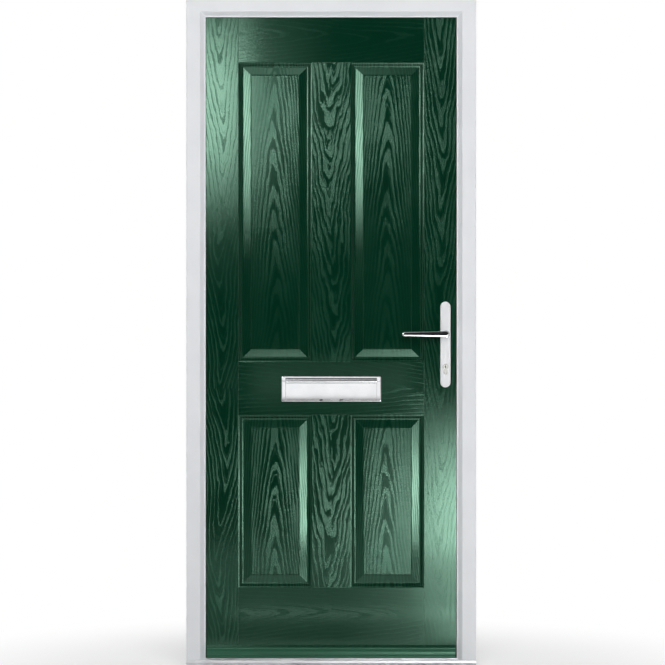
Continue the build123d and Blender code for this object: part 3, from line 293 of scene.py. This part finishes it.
# Its figure on each member: stile, mullion, panel, rail
SEED = (3.1, 5.7, 9.3, 16.4)
DRIFT = (0.10, 0.06, 0.03, 0.06)        # how far it wanders across the board, in m
POINTS = (-1.0, -1.0, 1.0, 1.0)         # its tips point down or up
STEEP = (6.0, 4.5, 5.5, 11.0)           # how much it runs along the board for each step across
FLARE = (4.0, 5.0, 8.0, 0.0)            # how much steeper it gets away from its middle
BLUNT = (0.008, 0.009, 0.013, 0.02)     # radius of its tips, in m
PERIOD = (0.090, 0.080, 0.095, 0.13)    # from one tip to the next, in m
LIVELY = (1.7, 2.8, 1.3, 0.8)           # how far it waves, in periods
RIGHT_SEED, UPPER_SEED = 2.3, 4.9       # added in those halves, so that the boards differ

# Half width of its strokes, in periods. It goes from thin to thick, patch by patch.
STILE_THIN, STILE_THICK = (0.08, 0.15), (0.24, 0.38)                # left and right stile
OTHERS_THIN, OTHERS_THICK = (0.14, 0.17, 0.08), (0.40, 0.40, 0.16)  # mullion, panel, rail
FINE_THIN, FINE_THICK = 0.08, (0.16, 0.17, 0.09, 0.12)              # fine strokes: half periods
SOFT_FROM = 0.65                        # where a stroke starts to fade, as a share of its half width

# How often its noises turn across and along a board, per metre
DRIFT_TURNS = 2.2
WAVE_TURNS, RAGGED_TURNS = (26.0, 8.0), (190.0, 34.0)
PATCH_TURNS, FADE_TURNS = (30.0, 7.0), (9.0, 3.5)
FIBRE_TURNS = (900.0, 420.0)
FADE_SEED = 40.0
RAGGED_REACH = 0.3                      # how far a stroke's edge is ragged, in periods

# How strong the strokes are, 0 to 1. Four numbers are two heights, and the strength below and
# above them.
BROAD_FADED, FINE_STRENGTH = 0.6, 0.6
RAIL_STRENGTH = 0.65
# Partly painted shade: the fade with height follows where less light falls, and it fades the strokes'
# lighter colour as well as their rough finish.
RIGHT_STILE_STRENGTH = (0.75, 1.15, 0.8, 1.0)
UPPER_PANEL_STRENGTH = (1.05, 1.70, 0.5, 1.0)

# How far the surface tilts: on the smooth ground and in the strokes, and at the skin's rolled edge
TILT_ACROSS, TILT_ALONG = (0.035, 0.22), (0.05, 0.10)
EDGE_TILT = 0.12

# Its look: smooth ground and matt strokes
GREEN_TINT = (0.56, 1.0, 0.75)
GROUND = ((0.0004, 0.022, 0.0098), (0.0009, 0.028, 0.0130))
STROKE = ((0.0020, 0.034, 0.0165), (0.0036, 0.041, 0.0205))
JOINT_COLOUR = (0.0002, 0.010, 0.004)
STROKE_SHARE, JOINT_SHARE = 0.8, 0.7    # how much of their colour shows
GROUND_ROUGHNESS = 0.062
STROKE_ROUGHNESS, JOINT_ROUGHNESS = 0.193, 0.3      # added to the ground's


class Members:
    """Masks of the door's members at a point, its coordinates there and values by member."""

    def __init__(self, g):
        self.g = g
        self.x, _, self.z = g.split(g.coords)
        self.from_middle = g.size(self.x)
        self.right = g.math("GREATER_THAN", self.x, 0.0)
        self.upper = g.math("GREATER_THAN", self.z, LOCK_RAIL_HEIGHT)
        centre = g.pick(self.upper, SHORT_CENTRE, TALL_CENTRE)
        half = g.pick(self.upper, SHORT_HALF, TALL_HALF)
        self.past_rail = g.minus(half, g.size(g.minus(self.z, centre)))
        self.stile = g.math("GREATER_THAN", self.from_middle, STILE_EDGE)
        inner = g.opposite(self.stile)
        between = g.times(inner, g.math("GREATER_THAN", self.past_rail, 0.0))
        self.rail = g.minus(inner, between)
        self.in_mullion_line = g.math("LESS_THAN", self.from_middle, MULLION_EDGE)
        self.mullion = g.times(self.in_mullion_line, between)
        self.panel = g.minus(between, self.mullion)

    def value(self, *of_members):
        """The value of the member that the point is on: stile, mullion, panel, rail."""
        masks = (self.stile, self.mullion, self.panel, self.rail)
        return self.g.add(*(self.g.times(mask, value) for mask, value in zip(masks, of_members)))


def board_coordinates(g, on):
    """u across a board, v along it, and a number that tells the boards apart."""
    u = on.value(g.minus(on.from_middle, STILE_CENTRE), on.x, g.minus(on.from_middle, PANEL_CENTRE),
                 g.add(on.past_rail, RAIL_HALF))
    v = g.pick(on.rail, on.z, on.x)
    seed = g.add(on.value(*SEED), g.times(on.right, RIGHT_SEED), g.times(on.upper, UPPER_SEED))
    drift = g.minus(g.noise(1.0, g.join(g.times(v, DRIFT_TURNS), seed, 0.0), detail=1), 0.5)
    return g.add(u, g.times(drift, on.value(*DRIFT))), v, seed


def grain_strokes(g, on, u, v, seed):
    """Where the matt strokes run, 0 to 1: long V or arch shapes, nested along each board."""

    def spread(across, along, number=seed, **settings):
        """Noise with its own frequencies across and along the board."""
        return g.noise(1.0, g.join(g.times(u, across), g.times(v, along), number), **settings)

    blunt = on.value(*BLUNT)
    reach = g.math("SQRT", g.add(g.times(u, u), g.times(blunt, blunt)))
    reach = g.add(reach, g.times(reach, reach, on.value(*FLARE)))
    phase = g.math("DIVIDE", g.add(g.times(on.value(*POINTS), v), g.times(on.value(*STEEP), reach)),
                   on.value(*PERIOD))
    wave = g.minus(spread(*WAVE_TURNS, roughness=0.55), 0.5)
    ragged = g.minus(spread(*RAGGED_TURNS, detail=1), 0.5)
    phase = g.add(phase, g.times(wave, on.value(*LIVELY)), g.times(ragged, RAGGED_REACH))
    patch = spread(*PATCH_TURNS, detail=1)
    clear = g.ramp(spread(*FADE_TURNS, g.add(seed, FADE_SEED)), 0.34, 0.6)

    def strokes(per_period, shift, thin, thick):
        """Strokes along the figure, whose half width goes from thin to thick, patch by patch."""
        turn = g.math("FRACT", g.add(g.times(phase, per_period), shift))
        from_line = g.math("DIVIDE", g.size(g.minus(turn, 0.5)), g.ramp(patch, 0.3, 0.7, thin, thick))
        return g.opposite(g.ramp(from_line, SOFT_FROM, 1.0))

    broad = strokes(1.0, 0.0,
                    on.value(g.pick(on.right, *STILE_THIN), *OTHERS_THIN),
                    on.value(g.pick(on.right, *STILE_THICK), *OTHERS_THICK))
    fine = strokes(2.0, 0.25, FINE_THIN, on.value(*FINE_THICK))
    matt = g.add(g.times(broad, g.pick(clear, BROAD_FADED, 1.0)),
                 g.times(fine, g.times(clear, FINE_STRENGTH)))

    # Fainter low on the right stile, towards the foot of the upper panels and on the rails. The fade
    # with height is partly painted shade: it darkens the strokes' lighter colour lower down, where less
    # light falls, as well as smoothing their rough finish.
    stile_strength = g.pick(on.right, 1.0, g.ramp(on.z, *RIGHT_STILE_STRENGTH))
    panel_strength = g.pick(on.upper, 1.0, g.ramp(on.z, *UPPER_PANEL_STRENGTH))
    return g.times(g.math("MINIMUM", matt, 1.0),
                   on.value(stile_strength, 1.0, panel_strength, RAIL_STRENGTH))


def tilt_fibres(g, on, u, v, seed, matt):
    """Fibres: fine tilts of the surface, more across the grain than along it."""
    across, along = FIBRE_TURNS
    fibres = g.noise(1.0, g.join(g.times(u, across), g.times(v, along), seed), detail=1,
                     output="Color")
    tilt_u, tilt_v, _ = g.split(fibres)
    tilt_u = g.times(g.minus(tilt_u, 0.5), g.pick(matt, *TILT_ACROSS))
    tilt_v = g.times(g.minus(tilt_v, 0.5), g.pick(matt, *TILT_ALONG))
    edge_tilt = g.times(g.math("SIGN", on.x),
                        g.ramp(on.from_middle, SKIN_EDGE_FROM, SKIN_EDGE_TO, 0.0, EDGE_TILT))
    tilt = g.to_world(g.join(g.add(edge_tilt, g.pick(on.rail, tilt_u, tilt_v)), 0.0,
                             g.pick(on.rail, tilt_v, tilt_u)))
    g.lean(g.rounded(EDGE_RADIUS), tilt)
    across_grain = g.to_world(g.join(g.opposite(on.rail), 0.0, on.rail))
    g.put(across_grain, g.shader.inputs["Tangent"])


def woodgrain():
    """Dark green moulded skin: an embossed grain that follows the boards and panels."""
    g = Finish("green_woodgrain", IOR=1.5, Anisotropic=0.9, Specular_Tint=GREEN_TINT)
    on = Members(g)
    u, v, seed = board_coordinates(g, on)
    matt = grain_strokes(g, on, u, v, seed)
    tilt_fibres(g, on, u, v, seed, matt)

    # Fine joints between the boards
    from_stile = g.size(g.minus(on.from_middle, STILE_EDGE))
    beside_stile = g.opposite(g.ramp(from_stile, 0.0, JOINT_WIDTH))
    beside_rail = g.opposite(g.ramp(g.size(on.past_rail), 0.0, JOINT_WIDTH))
    joint = g.larger(beside_stile, g.times(on.in_mullion_line, beside_rail))

    tone = g.noise(5, detail=3)
    colour = g.colour(g.times(matt, STROKE_SHARE), g.colour(tone, *GROUND), g.colour(tone, *STROKE))
    colour = g.colour(g.times(joint, JOINT_SHARE), colour, JOINT_COLOUR)
    return g.done(colour, g.add(GROUND_ROUGHNESS, g.times(matt, STROKE_ROUGHNESS),
                                g.times(joint, JOINT_ROUGHNESS)))


FINISHES = {
    "upvc_white": plastic("white_plastic", (0.79, 0.805, 0.835), (0.82, 0.835, 0.86), (0.42, 0.52),
                          grain=1200, depth=0.000006, edge=0.0009, Specular_IOR_Level=0.25),
    "galvanised": galvanised(),
    "aluminium": metal("mill_aluminium", (0.70, 0.71, 0.73), (0.84, 0.85, 0.86), (0.28, 0.46),
                       brushed=(1, 40, 40), scale=18, depth=0.00002),
    "polyamide": plastic("black_polyamide", (0.020, 0.020, 0.021), (0.034, 0.034, 0.034), (0.5, 0.65)),
    "rubber_black": plastic("black_rubber", (0.012, 0.012, 0.013), (0.026, 0.026, 0.027), (0.6, 0.8),
                            grain=500, depth=0.00005, edge=0.0003),
    "white_coated": plastic("white_powder_coat", (0.79, 0.80, 0.82), (0.82, 0.83, 0.85), (0.34, 0.46),
                            grain=650, depth=0.00002, edge=0.0005, Specular_IOR_Level=0.3),
    "zinc_plated": metal("bright_zinc", (0.56, 0.58, 0.60), (0.74, 0.75, 0.74), (0.24, 0.4), scale=45),
    "green_skin": woodgrain(),
    "foam": foam(),
    "timber": timber(),
    "green_bar": plastic("green_bar", (0.0160, 0.078, 0.043), (0.0220, 0.092, 0.052), (0.20, 0.28),
                         grain=700, edge=0.0006, Specular_Tint=GREEN_TINT),
    # Shade is painted into the chrome's gaps and recesses, such as around the letter flap and its
    # notches
    "chrome_plated": metal("polished_chrome", (0.80, 0.81, 0.83), (0.86, 0.87, 0.88), (0.03, 0.05),
                           scale=30, depth=0.0000002, edge=0.0005, painted_shade_reach=0.010),
    "liner_black": plastic("black_liner", (0.018, 0.018, 0.018), (0.030, 0.030, 0.030), (0.45, 0.6)),
    # Shade is painted into the cylinder's gaps and recesses
    "nickel_brass": metal("satin_nickel", (0.34, 0.34, 0.33), (0.42, 0.42, 0.40), (0.55, 0.62),
                          scale=80, painted_shade_reach=0.004),
    "lock_steel": metal("bright_steel", (0.50, 0.51, 0.52), (0.66, 0.66, 0.66), (0.25, 0.42),
                        brushed=(1, 1, 30)),
}

for part in frame["record"]["subparts"]:
    node = frame["nodes"][part["node"]]
    finish = FINISHES[part["material_slot"]]
    if node.material_slots:
        for place in node.material_slots:
            place.material = finish
    else:
        node.data.materials.append(finish)


# Small fasteners: flat countersunk heads with a cross recess. Their sizes are shares of the radius.

HEAD_RINGS = (0.0, 0.14, 0.28, 0.42, 0.56, 0.74, 0.9, 1.0)
HEAD_TURNS = 32
DOME_RISE = 0.16
CROSS_REACH, CROSS_HALF, CROSS_DEPTH = 0.6, 0.15, 0.34
DEEPEST = -0.0004           # in metres, under the face that the head closes
TWIST = 0.7                 # from one head to the next, in radians


def screw_heads(name, points, facing, radius, body):
    """One mesh of screw heads that stand just clear of the face they close."""
    mesh = bpy.data.meshes.new(name)
    built = bmesh.new()
    normal, first, second = facing
    for number, point in enumerate(points):
        cos_twist, sin_twist = math.cos(TWIST * number), math.sin(TWIST * number)
        rows = []
        for ring in HEAD_RINGS:
            row = []
            for step in range(HEAD_TURNS if ring else 1):
                angle = 2 * math.pi * step / HEAD_TURNS
                a, b = ring * math.cos(angle), ring * math.sin(angle)
                rise = DOME_RISE * (1 - ring ** 3)
                in_cross = ring < CROSS_REACH and min(abs(a), abs(b)) < CROSS_HALF
                lift = (rise - CROSS_DEPTH if in_cross else rise) * radius
                c = a * cos_twist - b * sin_twist
                d = a * sin_twist + b * cos_twist
                row.append(built.verts.new([
                    point[k] + normal[k] * max(lift, DEEPEST)
                    + radius * (first[k] * c + second[k] * d)
                    for k in range(3)
                ]))
            rows.append(row)
        for low, high in zip(rows, rows[1:]):
            for step in range(HEAD_TURNS):
                after = (step + 1) % HEAD_TURNS
                if len(low) == 1:
                    built.faces.new((low[0], high[step], high[after]))
                else:
                    built.faces.new((low[step], high[step], high[after], low[after]))
    bmesh.ops.recalc_face_normals(built, faces=built.faces)
    built.to_mesh(mesh)
    built.free()
    mesh.materials.append(FINISHES["zinc_plated"])
    for polygon in mesh.polygons:
        polygon.use_smooth = True
    heads = bpy.data.objects.new(name, mesh)
    bpy.context.scene.collection.objects.link(heads)
    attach(heads, body)


# The way a head faces, and two directions across it
TO_HOUSE = ((0, 1, 0), (0, 0, 1), (1, 0, 0))
TO_LOCK_SIDE = ((1, 0, 0), (0, 1, 0), (0, 0, 1))
TO_HINGE_SIDE = ((-1, 0, 0), (0, 0, 1), (0, 1, 0))

# Where the heads stand, in metres
HINGE_HEAD, LOCK_HEAD = 0.0042, 0.0038              # radius
HINGE_STEPS = (-0.034, 0, 0.034)                    # up and down from a hinge's middle
FRAME_LEAF_INSET, FRAME_LEAF_FACE = 0.016, 0.0386   # from the hinge leaf's edge, and its face's y
DOOR_LEAF_INSET, DOOR_LEAF_FACE = 0.0167, 0.0336
KEEP_INSET, FACEPLATE_INSET = 0.01, 0.018           # from the ends
FACEPLATE_HEIGHTS = (0.62, 0.87, 1.3)
CLEAR = 0.0001                                      # in front of the face

hinge_boxes = [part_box("hinge_door_leaf_" + name) for name in ("bottom", "middle", "top")]
hinge_heights = [(low.z + high.z) / 2 for low, high in hinge_boxes]
frame_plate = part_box("hinge_frame_leaf_top")
door_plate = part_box("hinge_door_leaf_top")
face_low, face_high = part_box("lock_faceplate")
leaf_middle = (face_low.y + face_high.y) / 2

screw_heads("hinge_screws_frame",
            [(frame_plate[0].x + FRAME_LEAF_INSET, FRAME_LEAF_FACE, z + step)
             for z in hinge_heights for step in HINGE_STEPS],
            TO_HOUSE, HINGE_HEAD, "frame")
screw_heads("hinge_screws_leaf",
            [(door_plate[1].x - DOOR_LEAF_INSET, DOOR_LEAF_FACE, z + step)
             for z in hinge_heights for step in HINGE_STEPS],
            TO_HOUSE, HINGE_HEAD, "leaf")
screw_heads("keep_screws",
            [(box[0].x - CLEAR, leaf_middle, z)
             for box in (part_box("latch_keep"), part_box("hook_keep_top"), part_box("hook_keep_bottom"))
             for z in (box[0].z + KEEP_INSET, box[1].z - KEEP_INSET)],
            TO_HINGE_SIDE, LOCK_HEAD, "frame")
screw_heads("faceplate_screws",
            [(face_high.x + CLEAR, leaf_middle, z)
             for z in (face_low.z + FACEPLATE_INSET, *FACEPLATE_HEIGHTS,
                       face_high.z - FACEPLATE_INSET)],
            TO_LOCK_SIDE, LOCK_HEAD, "leaf")


# Floor: a pale round sheet that turns pure white to the camera away from the door's foot

FLOOR_RADIUS, FLOOR_TURNS, FLOOR_HEIGHT = 7.0, 96, -0.0005
WHITE_FROM, WHITE_AT = 0.5, 1.5         # distance from the door's middle
FLOOR_LIFT = 0.30                       # brightness added near the door
FLOOR_TONES, FLOOR_ROUGHNESS = ((0.80, 0.80, 0.80), (0.84, 0.84, 0.84)), 0.9


def pale_floor():
    mesh = bpy.data.meshes.new("floor")
    built = bmesh.new()
    bmesh.ops.create_circle(built, cap_ends=True, segments=FLOOR_TURNS, radius=FLOOR_RADIUS)
    built.to_mesh(mesh)
    built.free()
    floor = bpy.data.objects.new("floor", mesh)
    floor.location.z = FLOOR_HEIGHT
    bpy.context.scene.collection.objects.link(floor)

    g = Finish("pale_floor", Specular_IOR_Level=0.0)
    x, y, _ = g.split(g.coords)
    far = g.math("SQRT", g.add(g.times(x, x), g.times(y, y)))
    speck = g.noise(40, detail=3)
    g.done(g.colour(speck, *FLOOR_TONES), FLOOR_ROUGHNESS)
    path = g.node("ShaderNodeLightPath").outputs
    seen = g.larger(path["Is Camera Ray"], path["Is Transmission Ray"])
    white = g.node("ShaderNodeEmission")
    g.put(1.0, white.inputs["Strength"])
    blend = g.node("ShaderNodeMixShader")
    whiteness = g.times(seen, g.ramp(far, WHITE_FROM, WHITE_AT))
    for value, socket in zip((whiteness, g.shader.outputs[0], white.outputs[0]), blend.inputs):
        g.put(value, socket)
    lift = g.node("ShaderNodeEmission")
    g.put(g.times(seen, g.ramp(far, WHITE_FROM, WHITE_AT, FLOOR_LIFT, 0.0)), lift.inputs["Strength"])
    lit = g.node("ShaderNodeAddShader")
    g.put(blend.outputs[0], lit.inputs[0])
    g.put(lift.outputs[0], lit.inputs[1])
    g.put(lit.outputs[0], g.tree.nodes["Material Output"].inputs["Surface"])
    mesh.materials.append(g.material)


pale_floor()


# Studio: one broad light from above on each side, and soft boxes that only show as reflections

def soft_box(name, place, aim, size, radiance, reflects, fade=None):
    """An area lamp of a stated radiance, that either lights surfaces or is mirrored in them.

    fade is how wide its edges fade, sideways and upwards.
    """
    lamp = bpy.data.lights.new(name, "AREA")
    lamp.shape = "RECTANGLE"
    lamp.size, lamp.size_y = size
    lamp.energy = radiance * math.pi * size[0] * size[1]
    holder = bpy.data.objects.new(name, lamp)
    holder.location = place
    holder.rotation_euler = (Vector(aim) - Vector(place)).to_track_quat("-Z", "Y").to_euler()
    holder.visible_camera = False
    holder.visible_glossy = reflects
    holder.visible_diffuse = not reflects
    bpy.context.scene.collection.objects.link(holder)
    if fade is None:
        return
    lamp.use_nodes = True
    g = Nodes(lamp.node_tree)
    spot = g.split(g.node("ShaderNodeNewGeometry").outputs["Parametric"])
    edges = [g.ramp(g.math("PINGPONG", spot[axis], 0.5), 0.0, min(0.5, fade[axis] / size[axis]))
             for axis in (0, 1)]
    g.put(g.times(*edges), g.tree.nodes["Emission"].inputs["Strength"])


soft_box("overhead", (0.3, -4.4, 2.6), (0, 0, 1.1), (2.6, 2.6), 6.2, reflects=False)
soft_box("overhead_behind", (-0.3, 4.4, 2.6), (0, 0, 1.1), (2.6, 2.6), 5.6, reflects=False)
soft_box("flap_card", (0, -4.0, 0.815), (0, 0, 0.815), (0.8, 0.19), 1.05, reflects=True,
         fade=(0.05, 0.03))
soft_box("sill_strip", (0, -0.42, 0.014), (0, -0.42, 1), (1.1, 0.34), 0.9, reflects=True)
soft_box("floor_strip", (0.1, -1.45, 0.012), (0.1, -1.45, 1), (0.9, 0.22), 3.0, reflects=True)

# Reflections with faded edges: high on the left, low on the right and along the floor there.
# The near boxes show in the flat boards, and the far ones in the bevels. The last of the high and
# of the low ones lies further out than the flat ground mirrors, so it shows in the matt strokes
# alone. Boxes at one depth would hide each other, so each stands a step behind the one before.
# Each row has the inner and outer edge, the lowest and highest point, the radiance, and how wide
# it fades sideways and upwards. The first number is the hand: -1 is left, and 1 is right.
BOXES = {
    "high": (-1, (0.32, 1.10, 1.50, 2.76, 11.6, 0.18, 0.55),
                 (0.30, 1.10, 1.12, 2.76, 0.9, 0.25, 0.70),
                 (-0.05, 1.10, 1.70, 2.76, 1.2, 0.45, 0.40),
                 (1.90, 3.90, 1.45, 2.76, 17.0, 0.40, 0.60),
                 (0.66, 1.10, 1.34, 2.76, 17.0, 0.14, 0.60)),
    "low": (1, (0.33, 1.10, -0.80, 0.80, 13.4, 0.19, 0.60),
               (-0.10, 1.10, -0.80, 0.80, 1.1, 0.50, 0.60),
               (1.90, 3.90, -0.80, 0.80, 18.0, 0.40, 0.60),
               (0.66, 1.10, -0.80, 0.80, 26.0, 0.14, 0.60)),
    "top": (-1, (-0.60, 3.90, 3.90, 5.60, 3.0, 0.90, 0.40)),
}
BOX_DISTANCE, BOX_STEP = 4.2, 0.02

# On the floor: left and right edge, the end nearest to the door, radiance, and fade sideways
GLOW = ((0.28, 1.4, 0.5, 6.0, 0.25), (0.0, 1.6, 0.4, 1.3, 0.4))
GLOW_HEIGHT, GLOW_STEP, GLOW_END_FADE = 0.01, 0.001, 0.3

# Behind the door the same boxes are turned about and dimmer
for way, side, share in ((1, "front", 1.0), (-1, "behind", 0.2)):
    for name, (hand, *rows) in BOXES.items():
        for step, (near, far, low, high, radiance, *fade) in enumerate(rows):
            place = (way * hand * (near + far) / 2,
                     -way * (BOX_DISTANCE + BOX_STEP * step),
                     (low + high) / 2)
            soft_box(f"{name}_{side}_{step}", place, (place[0], 0, place[2]),
                     (far - near, high - low), radiance * share, True, fade)
    for step, (near, far, foot, radiance, fade) in enumerate(GLOW):
        place = (way * (near + far) / 2,
                 -way * (foot + BOX_DISTANCE) / 2,
                 GLOW_HEIGHT + step * GLOW_STEP)
        soft_box(f"glow_{side}_{step}", place, (place[0], place[1], 1),
                 (far - near, BOX_DISTANCE - foot), radiance * share, True, (fade, GLOW_END_FADE))


# World: white to the camera, a soft sweep in reflections and a little light from all around

FILL = 0.20                         # strength of the light from all around
SWEEP = (0.2, 0.9, 0.02, 0.8)       # two shares sideways, and the strength below and above them
CEILING_SHADE = 0.7                 # how much darker reflections get towards straight up


def studio_world():
    """A world that reflections see darker in front of and behind the door than at its sides."""
    world = bpy.data.worlds.new("studio")
    bpy.context.scene.world = world
    world.use_nodes = True
    g = Nodes(world.node_tree)
    g.tree.nodes.clear()
    path = g.node("ShaderNodeLightPath").outputs
    glossy = path["Is Glossy Ray"]
    seen = g.larger(path["Is Camera Ray"], path["Is Transmission Ray"])
    _, along_y, up = g.split(g.node("ShaderNodeTexCoord").outputs["Generated"])
    sweep = g.ramp(g.opposite(g.size(along_y)), *SWEEP)
    ceiling = g.opposite(g.times(g.larger(up, 0.0), CEILING_SHADE))
    mirrored = g.times(glossy, g.times(sweep, ceiling))
    rest = g.opposite(g.larger(seen, glossy))
    strength = g.add(g.larger(seen, mirrored), g.times(rest, FILL))
    background = g.node("ShaderNodeBackground")
    g.put((1, 1, 1), background.inputs["Color"])
    g.put(strength, background.inputs["Strength"])
    g.put(background.outputs[0], g.node("ShaderNodeOutputWorld").inputs["Surface"])


studio_world()


# Camera: square on, at the photograph's height, far enough back for its flat view

CAMERA_PLACE = (0.004, -8.0, 1.0445)
SENSOR_WIDTH, LENS = 36, 138.75         # in millimetres

camera_data = bpy.data.cameras.new("camera")
camera_data.sensor_width = SENSOR_WIDTH
camera_data.lens = LENS
camera = bpy.data.objects.new("camera", camera_data)
camera.location = CAMERA_PLACE
camera.rotation_euler = (math.radians(90), 0, 0)
bpy.context.scene.collection.objects.link(camera)
bpy.context.scene.camera = camera
bpy.context.scene.view_settings.view_transform = "Standard"

low, high = cad_box
